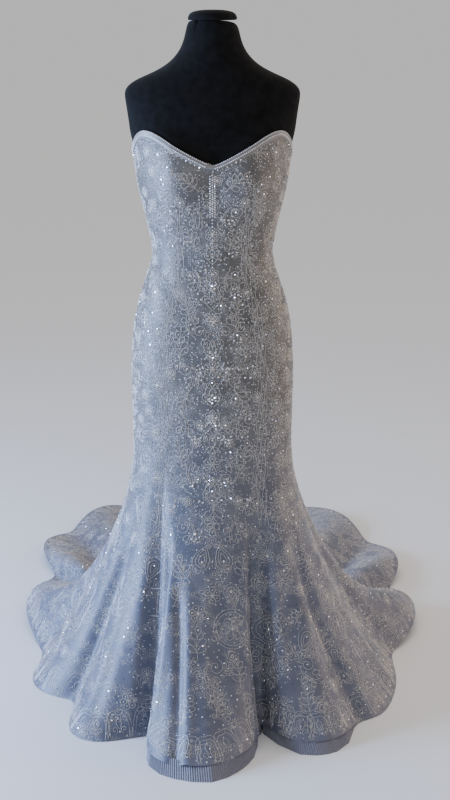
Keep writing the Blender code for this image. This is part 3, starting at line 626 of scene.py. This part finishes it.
# Each motif is drawn 1 wide: its lines, its stones and its seed beads. Down is positive.
MOTIFS = {
    "rosette": (
        [petal(0, 0, 0.48, 0.34, 60 * k) for k in range(6)] + [circle(0, 0, 0.12, 9)],
        [(0, 0)],
        [off_middle(0.30, 60 * k) for k in range(6)],
    ),
    "scroll": (
        [
            spiral(-0.14, -0.20, 0.27, 1.5, 60), bow((0.07, -0.36), (0.42, -0.05), (0.16, 0.50), 11),
            bow((0.13, -0.22), (0.30, 0.02), (0.04, 0.46), 9), petal(0.22, 0.02, 0.30, 0.20, 100),
            petal(0.18, 0.26, 0.26, 0.18, 130), petal(0.02, 0.12, 0.28, 0.19, -125),
            spiral(-0.10, 0.38, 0.13, 1.1, -30, -1),
        ],
        [(-0.14, -0.20)],
        [(0.50, 0.06), (0.38, 0.42), (-0.24, 0.28), (-0.44, -0.30), (-0.10, 0.38)],
    ),
    "spray": (
        [bow((0, 0.50), (0.10, 0.0), (0, -0.32), 9), petal(0, -0.28, 0.30, 0.20, 0)]
        + [petal(0.04, 0.06 + d, 0.36, 0.19, s * 52) for d in (0.0, 0.22) for s in (-1, 1)]
        + [petal(0.03, -0.14, 0.28, 0.16, s * 40) for s in (-1, 1)]
        + [spiral(0.12, 0.46, 0.11, 1.1, 180)],
        [(0, -0.46)],
        [(s * 0.34, d) for s in (-1, 1) for d in (-0.17, 0.06)] + [(s * 0.22, -0.36) for s in (-1, 1)],
    ),
    "paisley": (
        [
            petal(0, 0.48, 0.96, 0.66, 8), petal(0.02, 0.36, 0.70, 0.42, 8),
            petal(0.03, 0.18, 0.40, 0.22, 8), spiral(-0.10, 0.46, 0.12, 1.1, 0, -1),
        ],
        [(0.06, -0.14)],
        [(x + 0.05, y - 0.12) for x, y in (off_middle(0.40, a) for a in range(-100, 121, 40))],
    ),
    "lyre": (
        [spiral(s * 0.24, 0.10, 0.22, 1.4, 90 - s * 30, s) for s in (-1, 1)]
        + [bow((s * 0.03, 0.50), (s * 0.52, 0.10), (s * 0.10, -0.40), 11) for s in (-1, 1)]
        + [petal(0, 0.26, 0.46, 0.24, 0), petal(0, -0.22, 0.32, 0.20, 0)]
        + [petal(0, -0.20, 0.28, 0.16, s * 48) for s in (-1, 1)],
        [(0, 0.02), (0, -0.44)],
        [(s * 0.24, 0.10) for s in (-1, 1)] + [(s * 0.26, -0.40) for s in (-1, 1)],
    ),
    "ring": (
        [circle(0, 0, 0.50, 25), circle(0, 0, 0.42, 21)]
        + [petal(0, 0, 0.30, 0.20, 60 * k + 30) for k in range(6)],
        [(0, 0)],
        [off_middle(-0.35, -60 * k) for k in range(6)],
    ),
    "arch": (
        [
            bow((-0.46, 0.46), (-0.50, -0.62), (0.0, -0.44), 9),
            bow((0.0, -0.44), (0.50, -0.62), (0.46, 0.46), 9),
            bow((-0.36, 0.46), (-0.38, -0.46), (0.0, -0.30), 8),
            bow((0.0, -0.30), (0.38, -0.46), (0.36, 0.46), 8),
            spiral(-0.17, 0.22, 0.13, 1.2, 0), spiral(0.17, 0.22, 0.13, 1.2, 180, -1),
            petal(0, 0.20, 0.36, 0.20, 0),
        ],
        [(0, 0.30)],
        [(0, -0.52), (-0.50, 0.30), (0.50, 0.30), (0, -0.20)],
    ),
}


def on_cloth(spot, normal):
    """The point of the cloth that a drawn point falls on, and the cloth's direction there."""
    hit = cloth_tree.ray_cast(spot + normal * REACH, -normal, 2 * REACH)
    return hit[:2] if hit[0] is not None else cloth_tree.find_nearest(spot)[:2]


SKIRT_LEAN = 0.35        # outward for each metre down, above the train
TRAIN_HEIGHT = 0.12
TRAIN_LEAN = 3           # times as much outward on the train
TRAIN_DROP = 0.3


def down_the_gown(place, normal):
    """Along the cloth towards the hem."""
    outward = Vector((place.x, place.y, 0)).normalized() * SKIRT_LEAN
    if place.z > TRAIN_HEIGHT:
        down = outward - UP
    else:
        down = outward * TRAIN_LEAN - UP * TRAIN_DROP
    return (down - normal * down.dot(normal)).normalized()


def lay(points, place, normal, down, size, turn=0.0, mirror=1):
    """Lays flat drawn points on the cloth round a place."""
    down = Matrix.Rotation(math.radians(turn) * -mirror, 3, normal) @ down
    across = down.cross(normal) * mirror
    return [
        on_cloth(place + across * float(u) * size + down * float(v) * size, normal)
        for u, v in points
    ]


class Work:
    """The cord, stones and seed beads sewn on one part of the gown."""
    def __init__(self):
        self.points, self.faces, self.stones, self.seeds = [], [], [], []

    def cord(self, line):
        """A low ridge along a line of the cloth, broken where the cloth jumps away."""
        spots = np.array([p[:] for p, _ in line])
        normals = np.array([n[:] for _, n in line])
        steps = np.linalg.norm(np.diff(spots, axis=0), axis=1)
        limit = 3 * np.median(steps) + 0.001
        cuts = [0] + [i + 1 for i in np.nonzero(steps > limit)[0]] + [len(spots)]
        for first, last in zip(cuts, cuts[1:]):
            if last - first < 3:
                continue
            run, up = spots[first:last], normals[first:last]
            side = np.cross(up, np.gradient(run, axis=0))
            side *= CORD_WIDTH / 2 / np.maximum(np.linalg.norm(side, axis=1, keepdims=True), 1e-9)
            foot = run - up * CORD_SINK
            rows = np.stack((foot + side, run + up * CORD_HEIGHT, foot - side), 1)
            base = len(self.points)
            self.points += rows.reshape(-1, 3).tolist()
            for i in range(base, base + 3 * (len(run) - 1), 3):
                self.faces += [(i, i + 1, i + 4, i + 3), (i + 1, i + 2, i + 5, i + 4)]

    def motif(self, name, *where):
        """One motif with its stones and beads, laid where the rest says."""
        lines, stones, seeds = MOTIFS[name]
        for line in lines:
            self.cord(lay(line, *where))
        self.stones += [(spot, normal, MOTIF_STONE) for spot, normal in lay(stones, *where)]
        self.seeds += [(spot, normal, MOTIF_BEAD) for spot, normal in lay(seeds, *where)]


WORKS = {name: Work() for name in ("body", "skirt", "train")}
BODY_FOOT = 0.56
TRAIN_START = 0.06
ONE_OF_A_KIND = 0.3      # below this height a drawn motif isn't mirrored


def work_at(place):
    """The part of the gown that a place belongs to."""
    return WORKS["body" if place.z > BODY_FOOT else "skirt" if place.y < TRAIN_START else "train"]


def front_point(across, height):
    """The point of the gown's front that lies behind a point of the front view."""
    hit = cloth_tree.ray_cast(Vector((across, -1.5, height)), Vector((0, 1, 0)))
    return hit[:2]


taken = []
for name, height, out, size, turn in DRAWN:
    for mirror in ((1,) if out == 0 or height < ONE_OF_A_KIND else (1, -1)):
        place, normal = front_point(out * mirror, height)
        work_at(place).motif(name, place, normal, down_the_gown(place, normal), size, turn, mirror)
        taken.append((place, size * 0.5))

for mirror in (1, -1):
    for number in range(STRIPES):
        shift = (number - (STRIPES - 1) / 2) * STRIPE_PITCH
        heights = np.arange(STRIPE_PATH[0][0], STRIPE_PATH[-1][0], -STRIPE_STEP)
        path = np.interp(-heights, [-h for h, _ in STRIPE_PATH], [x for _, x in STRIPE_PATH])
        sway = STRIPE_SWAY * np.sin(heights * STRIPE_WAVES + number * STRIPE_SHIFT)
        WORKS["body"].cord([
            front_point(mirror * (x + s + shift), z) for x, s, z in zip(path, sway, heights)
        ])
    taken += [(front_point(mirror * x, z)[0], STRIPE_CLEAR) for z, x in STRIPE_PATH]


def edge_loop(mesh_object, low, high):
    """The points of the cloth's open edge between two heights, in order."""
    ends, uses = {}, {}
    for face in mesh_object.polygons:
        for key in face.edge_keys:
            uses[key] = uses.get(key, 0) + 1
    for (a, b), count in uses.items():
        if count == 1 and low < spots[a].z < high and low < spots[b].z < high:
            ends.setdefault(a, []).append(b)
            ends.setdefault(b, []).append(a)
    start = min(ends, key=lambda i: (spots[i].y, i))
    loop, last = [start], None
    while True:
        after = next((i for i in ends[loop[-1]] if i != last and i != start), None)
        if after is None:
            return loop + [start]
        last = loop[-1]
        loop.append(after)


LOOK_AHEAD = 0.004


def spaced_along(points, pitch):
    """Points a pitch apart along a line of points, with the direction of the line."""
    points = np.array([p[:] for p in points])
    steps = np.linalg.norm(np.diff(points, axis=0), axis=1)
    length = np.concatenate([[0.0], np.cumsum(steps)])
    places = np.arange(0, length[-1], length[-1] / max(1, round(length[-1] / pitch)))
    at = np.stack([np.interp(places, length, points[:, axis]) for axis in range(3)], 1)
    ahead = np.stack(
        [np.interp(places + LOOK_AHEAD, length, points[:, axis]) for axis in range(3)], 1
    )
    return [(Vector(a), Vector(b - a).normalized()) for a, b in zip(at, ahead)]


hem = [spots[i] for i in edge_loop(gown.data, -1.0, NECKLINE_LOWEST)]
for place, along in spaced_along(hem, ARCH_PITCH):
    _, normal = cloth_tree.find_nearest(place)[:2]
    up_cloth = along.cross(normal).normalized()
    if up_cloth.z < 0 and abs(up_cloth.z) > 0.2 or Vector((place.x, place.y, 0)).dot(up_cloth) > 0.05:
        up_cloth = -up_cloth
    middle, normal = on_cloth(place + up_cloth * ARCH_ABOVE_HEM, normal)
    down = -(up_cloth - normal * up_cloth.dot(normal)).normalized()
    work_at(middle).motif("arch", middle, normal, down, ARCH_SIZE)
    taken.append((middle, ARCH_SIZE * 0.5))


def scatter(count, seed):
    """Random spots on the cloth, as many on each bit as its area asks for."""
    rng = np.random.default_rng(seed)
    areas = np.array([area for _, _, area in cloth_faces])
    for index in rng.choice(len(areas), count, p=areas / areas.sum()):
        centre, normal, _ = cloth_faces[index]
        yield centre, normal, rng


class Spacing:
    """Remembers what is sewn where, so that nothing lands on anything else."""
    CELL = 0.05

    def __init__(self):
        self.cells = {}

    def add(self, place, reach):
        key = tuple(int(math.floor(c / self.CELL)) for c in place)
        self.cells.setdefault(key, []).append((place, reach))

    def is_free(self, place, reach):
        key = [int(math.floor(c / self.CELL)) for c in place]
        for x in (-1, 0, 1):
            for y in (-1, 0, 1):
                for z in (-1, 0, 1):
                    for other, size in self.cells.get((key[0] + x, key[1] + y, key[2] + z), ()):
                        if (place - other).length < reach + size:
                            return False
        return True


space = Spacing()
for place, reach in taken:
    space.add(place, reach * FILL_CROWDING)
neckline = [spots[i] for i in edge_loop(gown.data, NECKLINE_LOWEST, math.inf)]
for place in neckline[::3]:
    space.add(place, NECK_CLEAR)

for centre, normal, rng in scatter(FILL_TRIES, FILL_SEED):
    _, pitch, size, names = [row for row in FILL if centre.z <= row[0]][-1]
    if not space.is_free(centre, pitch / 2):
        continue
    space.add(centre, pitch / 2)
    name = names[rng.integers(len(names))]
    small = ROSETTE_SHARE if name == "rosette" else 1.0
    work_at(centre).motif(
        name, centre, normal, down_the_gown(centre, normal), size * small * rng.uniform(*FILL_SIZES),
        float(rng.uniform(-FILL_TURN, FILL_TURN)), int(rng.choice((-1, 1))),
    )

cord, tree, shader = new_finish("silver_cord", (0.52, 0.50, 0.48), 0.42, 0.15)
place = place_on(tree)
strand = noise(tree, place, 700.0, 2.0)
twist = ramp(tree, strand, 0.3, 0.7)
height = add_node(tree, "ShaderNodeSeparateXYZ", {"Vector": place}).outputs["Z"]
# Painted light: the cord is warmer and brighter above and cooler and darker towards the hem, a painted
# tint of the cool window light on the skirt.
upper = blend_colours(tree, twist, (0.32, 0.305, 0.29), (0.54, 0.51, 0.48))
lower = blend_colours(tree, twist, (0.26, 0.26, 0.275), (0.44, 0.43, 0.44))
colour_by(tree, shader, height, 0.30, 0.75, lower, upper)
bump_with(tree, shader, strand, 0.0004, 0.6)


def mesh_piece(name, points, faces, finish, smooth):
    """A piece from its points and faces, with its finish."""
    data = bpy.data.meshes.new(name)
    data.from_pydata(points, [], faces)
    data.update()
    if smooth:
        data.shade_smooth()
    data.materials.append(finish)
    made = bpy.data.objects.new(name, data)
    bpy.context.scene.collection.objects.link(made)
    return made


for name, work in WORKS.items():
    piece = mesh_piece("cord_on_" + name, work.points, work.faces, cord, True)
    join_body(piece, "lace")

# Stones and glass seed beads are sewn on by hand. The stones are cut and silvered. Round
# beads edge the neckline, run down the centre front, and dot the net between the motifs.
STONE_SIDES = 7
BEAD_SIDES = 6
NECK_BEAD_PITCH = 0.0046
NECK_ROWS = ((0.0012, 0.0030), (0.0078, 0.0034))    # below the edge, and bead size
STONE_ROW = (0.0135, 0.0105, 0.0040)                 # below the edge, pitch, size
ON_BAND = 0.009          # what is nearer to the edge than this is sewn on the band
COLUMN_DROP = 0.010      # from the neckline's lowest point to the column on the centre front
COLUMN_FOOT = 1.150
COLUMN_ROWS = (-0.0052, 0.0, 0.0052)
COLUMN_PITCH = 0.0052
COLUMN_SIZE = 0.0042
LINE_FOOT = 1.035        # the line of single beads below the column
LINE_PITCH = 0.0075
LINE_SIZE = 0.0034

# Clusters of larger stones on the front: how high, how far out, how many, how wide apart
CLUSTERS = (
    (1.165, -0.085, 3, 0.010), (1.148, -0.088, 2, 0.009), (1.142, 0.034, 4, 0.011),
    (1.120, -0.100, 3, 0.010), (1.093, -0.055, 4, 0.010), (1.070, 0.045, 4, 0.011),
    (1.096, 0.070, 2, 0.010), (1.060, 0.020, 2, 0.009), (1.040, -0.016, 4, 0.010),
    (1.018, -0.040, 4, 0.011), (0.997, 0.000, 5, 0.009), (0.972, -0.030, 3, 0.010),
    (0.978, 0.050, 4, 0.010), (0.975, 0.080, 2, 0.009), (0.925, 0.000, 6, 0.010),
    (0.905, -0.050, 3, 0.010), (0.880, 0.055, 3, 0.010), (0.845, 0.000, 7, 0.010),
    (0.812, -0.028, 4, 0.010), (0.812, 0.030, 4, 0.010), (0.742, 0.000, 6, 0.010),
    (0.695, 0.000, 5, 0.010), (0.681, -0.023, 4, 0.009), (0.681, 0.008, 4, 0.009),
    (0.649, -0.039, 4, 0.010), (0.649, 0.030, 4, 0.010), (0.548, -0.043, 4, 0.010),
    (0.553, -0.006, 4, 0.010), (0.548, 0.028, 4, 0.010), (0.500, -0.085, 2, 0.009),
    (0.500, -0.030, 1, 0.009), (0.500, 0.080, 2, 0.009), (0.430, -0.042, 3, 0.009),
    (0.290, -0.052, 2, 0.009), (0.210, -0.020, 1, 0.009), (0.140, 0.170, 2, 0.009),
)
CLUSTER_STONE = (0.0042, 0.0056)     # the least size and the largest
CLUSTER_BEAD = (0.0024, 0.0034)
CLUSTER_BEADS = 2                    # beside each stone
STONES_OUT = 0.75                    # of the cluster's reach
BEADS_OUT = (0.8, 1.6)
UNEVEN_TURN = 0.3
FULL_TURN = 6.28

# Bands of stones across the front: height, half width, how many
BANDS = ((0.815, 0.090, 17), (0.790, 0.086, 15), (0.655, 0.080, 13), (0.508, 0.085, 9))
BAND_STONE = (0.0036, 0.0050)
BAND_SWAY = 0.004

# What is dotted between the motifs: down to which height, and how far apart
DOTTED = ((0.60, 0.0055), (0.25, 0.0085), (-1.0, 0.0100))
DOT_TRIES = 24000
DOT_SEED = 11
DOT_CLEAR = 0.0015
DOT_STONE = (0.0032, 0.0046)
DOT_BEAD = (0.0020, 0.0032)
STONE_SHARE = 0.10
DARK_SHARE = 0.42        # of the beads

stones, seeds, dark_seeds = [], [], []
for work in WORKS.values():
    stones += work.stones
    seeds += work.seeds


def below_edge(place, along, drop, size, store):
    """Sews a bead below a place on the neckline."""
    normal = cloth_tree.find_nearest(place)[1]
    down = along.cross(normal).normalized()
    if down.z > 0:
        down = -down
    spot, normal = cloth_tree.find_nearest(place + down * drop)[:2]
    lift = BAND_GAP + BAND_THICKNESS if drop < ON_BAND else 0.0
    store.append((spot + normal * lift, normal, size))


for drop, size in NECK_ROWS:
    for place, along in spaced_along(neckline, NECK_BEAD_PITCH):
        below_edge(place, along, drop, size, seeds)
for place, along in spaced_along(neckline, STONE_ROW[1]):
    below_edge(place, along, STONE_ROW[0], STONE_ROW[2], stones)

column_top = min(p.z for p in neckline) - COLUMN_DROP
for out in COLUMN_ROWS:
    for number, height in enumerate(np.arange(column_top, COLUMN_FOOT, -COLUMN_PITCH)):
        store = stones if (number + (out != 0)) % 2 else seeds
        store.append((*front_point(out, height - abs(out) / 2), COLUMN_SIZE))
for height in np.arange(COLUMN_FOOT, LINE_FOOT, -LINE_PITCH):
    seeds.append((*front_point(0.0, height), LINE_SIZE))

rng = random.Random(7)
for height, out, count, spread in CLUSTERS:
    for number in range(count):
        turn = 2 * math.pi * number / count + rng.uniform(-UNEVEN_TURN, UNEVEN_TURN)
        reach = spread * (0.0 if number == 0 and count > 3 else STONES_OUT)
        spot = front_point(out + reach * math.sin(turn), height + reach * math.cos(turn))
        stones.append((*spot, rng.uniform(*CLUSTER_STONE)))
        for _ in range(CLUSTER_BEADS):
            turn = rng.uniform(0, FULL_TURN)
            reach = spread * rng.uniform(*BEADS_OUT)
            spot = front_point(out + reach * math.sin(turn), height + reach * math.cos(turn))
            seeds.append((*spot, rng.uniform(*CLUSTER_BEAD)))
for height, half_width, count in BANDS:
    for number in range(count):
        out = (2 * number / (count - 1) - 1) * half_width
        spot = front_point(out, height + rng.uniform(-BAND_SWAY, BAND_SWAY))
        stones.append((*spot, rng.uniform(*BAND_STONE)))

bead_space = Spacing()
for place, _, size in stones + seeds:
    bead_space.add(place, size / 2)
for centre, normal, rng in scatter(DOT_TRIES, DOT_SEED):
    spacing = next(apart for height, apart in DOTTED if centre.z > height)
    if not bead_space.is_free(centre, spacing):
        continue
    bead_space.add(centre, DOT_CLEAR)
    if rng.random() < STONE_SHARE:
        stones.append((centre, normal, float(rng.uniform(*DOT_STONE))))
    else:
        store = dark_seeds if rng.random() < DARK_SHARE else seeds
        store.append((centre, normal, float(rng.uniform(*DOT_BEAD))))


BEAD_TILT = 0.22


def beads_mesh(name, beads, rings, sides, finish, smooth):
    """Small domes on the cloth, from rings of (share of the radius, share of the height)."""
    points, faces = [], []
    rng = random.Random(len(beads))
    for place, normal, size in beads:
        across = normal.orthogonal().normalized()
        across.rotate(Matrix.Rotation(rng.uniform(0, FULL_TURN), 3, normal))
        tilt = Matrix.Rotation(rng.uniform(-BEAD_TILT, BEAD_TILT), 3, across)
        up = tilt @ normal
        side = across.cross(up)
        base = len(points)
        for reach, height in rings:
            for k in range(sides):
                turn = 2 * math.pi * k / sides
                ray = across * math.cos(turn) + side * math.sin(turn)
                points.append(place + ray * (reach * size / 2) + up * (height * size))
        for ring in range(len(rings) - 1):
            for k in range(sides):
                a, b = base + ring * sides + k, base + ring * sides + (k + 1) % sides
                faces.append((a, b, b + sides, a + sides))
        faces.append(tuple(base + (len(rings) - 1) * sides + k for k in range(sides)))
    return mesh_piece(name, points, faces, finish, smooth)


crystal, tree, shader = new_finish("silvered_stone", (0.92, 0.93, 0.96), 0.12, 1.0)
tint = noise(tree, place_on(tree), 60.0, 0.0)
colour_by(tree, shader, tint, 0.35, 0.65, (0.78, 0.80, 0.88), (0.98, 0.96, 0.94))


def glass_finish(name, first, second):
    """Glass beads that differ a little from one to the next."""
    made, tree, shader = new_finish(name, first, 0.20, 0.1)
    sockets = {"Vector": place_on(tree), "Scale": 160.0}
    kind = add_node(tree, "ShaderNodeTexVoronoi", sockets).outputs["Color"]
    pick = add_node(tree, "ShaderNodeSeparateColor", {"Color": kind}).outputs["Red"]
    tree.links.new(blend_colours(tree, pick, first, second), shader.inputs["Base Color"])
    return made


pale_glass = glass_finish("pale_glass_bead", (0.50, 0.50, 0.54), (0.80, 0.78, 0.78))
dark_glass = glass_finish("gunmetal_glass_bead", (0.03, 0.03, 0.035), (0.12, 0.11, 0.12))
STONE_RINGS = ((1.0, -0.05), (1.0, 0.10), (0.55, 0.34))
BEAD_RINGS = ((1.0, -0.02), (0.52, 0.46))
for name, beads, rings, sides, finish, smooth in (
    ("cut_stones", stones, STONE_RINGS, STONE_SIDES, crystal, False),
    ("pale_beads", seeds, BEAD_RINGS, BEAD_SIDES, pale_glass, True),
    ("dark_beads", dark_seeds, BEAD_RINGS, BEAD_SIDES, dark_glass, True),
):
    piece = beads_mesh(name, beads, rings, sides, finish, smooth)
    join_body(piece, "band")

# Each gore, cut with 10 mm for its seams, gets its thickness by itself. It is shaded as one
# cloth with its neighbours, so the seams stay quiet.
CUTS = {                 # width, length and area of each gore's cut
    "front_centre": (0.57, 1.44, 0.400),
    "front_side_left": (0.74, 1.43, 0.366),
    "front_side_right": (0.78, 1.43, 0.386),
    "back_side_left": (0.68, 1.98, 0.408),
    "back_side_right": (0.69, 1.92, 0.408),
    "back_centre_left": (0.66, 2.22, 0.599),
    "back_centre_right": (0.74, 2.22, 0.634),
}


FACES_AWAY = 0.3         # a lean over this is one of the two faces, and under it a rim


def shade_as_sewn(mesh):
    """Gives the two faces of a gore's cloth the directions of the whole gown."""
    stored = mesh.attributes["cloth_normal"].data
    normals = []
    for face in mesh.polygons:
        for vertex in face.vertices:
            direction = Vector(stored[vertex].vector)
            lean = face.normal.dot(direction)
            if abs(lean) > FACES_AWAY:
                normals.append(direction if lean > 0 else -direction)
            else:
                normals.append(face.normal.copy())
    mesh.normals_split_custom_set(normals)
    for name in ("cloth_normal", "gore", "band"):
        mesh.attributes.remove(mesh.attributes[name])


for number, node in enumerate(GORES):
    last = number == len(GORES) - 1
    gore = gown if last else split_off(gown, "lace_" + node, "gore", number)
    gore.name = "lace_" + node
    gore.data.name = gore.name
    apply_modifier(gore, "SOLIDIFY", thickness=CLOTH_THICKNESS, offset=-1.0)
    shade_as_sewn(gore.data)
    join_body(gore, "lace", node)
    width, length, cut_area = CUTS[node]

# The frill is the pleated net edge of the underskirt, which shows below the hem in
# front. Each pleat is pressed and stitched at its top.
frill, tree, shader = new_finish("pleated_net", (0.30, 0.30, 0.36), 0.55)
sockets = {"Vector": place_on(tree), "Scale": 620.0}
net_holes = add_node(tree, "ShaderNodeTexVoronoi", sockets).outputs["Distance"]
colour_by(tree, shader, net_holes, 0.2, 0.6, (0.07, 0.075, 0.11), (0.14, 0.145, 0.19))
bump_with(tree, shader, net_holes, 0.0003, 0.4)
for name, width in (("hem_frill_centre", 0.56), ("hem_frill_right", 0.46)):
    refinish(name, frill)

# The zip's slider and pull tab are nickel-plated zinc, cast and tumbled. The slider runs
# on the coil in the centre back seam, and the tab hangs from its bail.
nickel, tree, shader = new_finish("nickel_plate", (0.62, 0.60, 0.57), 0.25, 1.0)
wear = noise(tree, place_on(tree), 500.0, 4.0)
colour_by(tree, shader, wear, 0.3, 0.75, (0.50, 0.48, 0.46), (0.70, 0.68, 0.65))
bump_with(tree, shader, wear, 0.0001, 0.3)
refinish("zip_slider", nickel)
refinish("zip_pull", nickel)

# The room: a pale floor in soft light, a cool window on the left, a weak lamp in front, a
# warm wall on the right and a broad warm light from the ceiling.
FLOOR_WIDTH = 90.0
bpy.ops.mesh.primitive_plane_add(size=1.0, location=(0, 0, 0))
floor = bpy.context.view_layer.objects.active
floor.name = "floor"
floor.scale = (FLOOR_WIDTH, FLOOR_WIDTH, 1.0)
bpy.ops.object.transform_apply(location=True, rotation=True, scale=True)
paper, tree, shader = new_finish("pale_floor", (0.68, 0.71, 0.75), 0.9)
floor.data.materials.append(paper)

world = bpy.data.worlds.new("soft_room")
bpy.context.scene.world = world
world.use_nodes = True
background = world.node_tree.nodes["Background"]
background.inputs["Color"].default_value = (0.95, 0.94, 0.94, 1.0)
background.inputs["Strength"].default_value = 0.64


def area_light(name, place, target, size, power, colour):
    """A flat lamp at a place that looks at its target."""
    data = bpy.data.lights.new(name, "AREA")
    data.shape = "RECTANGLE"
    data.size, data.size_y = size
    data.energy = power
    data.color = colour
    made = bpy.data.objects.new(name, data)
    made.location = place
    made.rotation_euler = (Vector(target) - Vector(place)).to_track_quat("-Z", "Y").to_euler()
    bpy.context.scene.collection.objects.link(made)


area_light("window", (-3.0, -0.5, 1.0), (0, 0, 0.55), (0.9, 1.7), 290, (0.42, 0.60, 1.0))
area_light("front_fill", (0.8, -4.0, 2.4), (0, 0, 0.9), (1.4, 0.9), 14, (1.0, 0.95, 0.90))
area_light("right_wall", (3.0, 0.4, 1.2), (0, 0, 0.6), (1.2, 1.8), 30, (1.0, 0.70, 0.48))

data = bpy.data.lights.new("ceiling", "SUN")
data.energy = 1.0
data.angle = math.radians(50)
data.color = (1.0, 0.82, 0.66)
ceiling = bpy.data.objects.new("ceiling", data)
ceiling.rotation_euler = (math.radians(-24), 0, 0)
bpy.context.scene.collection.objects.link(ceiling)

# The camera stands 1.5 m high and 3 m in front, and looks down at the gown.
PICTURE = (450, 800)
CAMERA_HEIGHT = 1.5
CAMERA_DISTANCE = 3.0
LOOK_DOWN = math.radians(15)
FOCAL_PIXELS = 1325
AXIS_OFF_CENTRE = (12.5, 5.0)

data = bpy.data.cameras.new("camera")
camera = bpy.data.objects.new("camera", data)
data.sensor_width = 32.0
data.lens = data.sensor_width * FOCAL_PIXELS / max(PICTURE)
data.shift_x = AXIS_OFF_CENTRE[0] / max(PICTURE)
data.shift_y = AXIS_OFF_CENTRE[1] / max(PICTURE)
camera.location = (0, -CAMERA_DISTANCE, CAMERA_HEIGHT)
camera.rotation_euler = (math.pi / 2 - LOOK_DOWN, 0, 0)
bpy.context.scene.collection.objects.link(camera)
bpy.context.scene.camera = camera
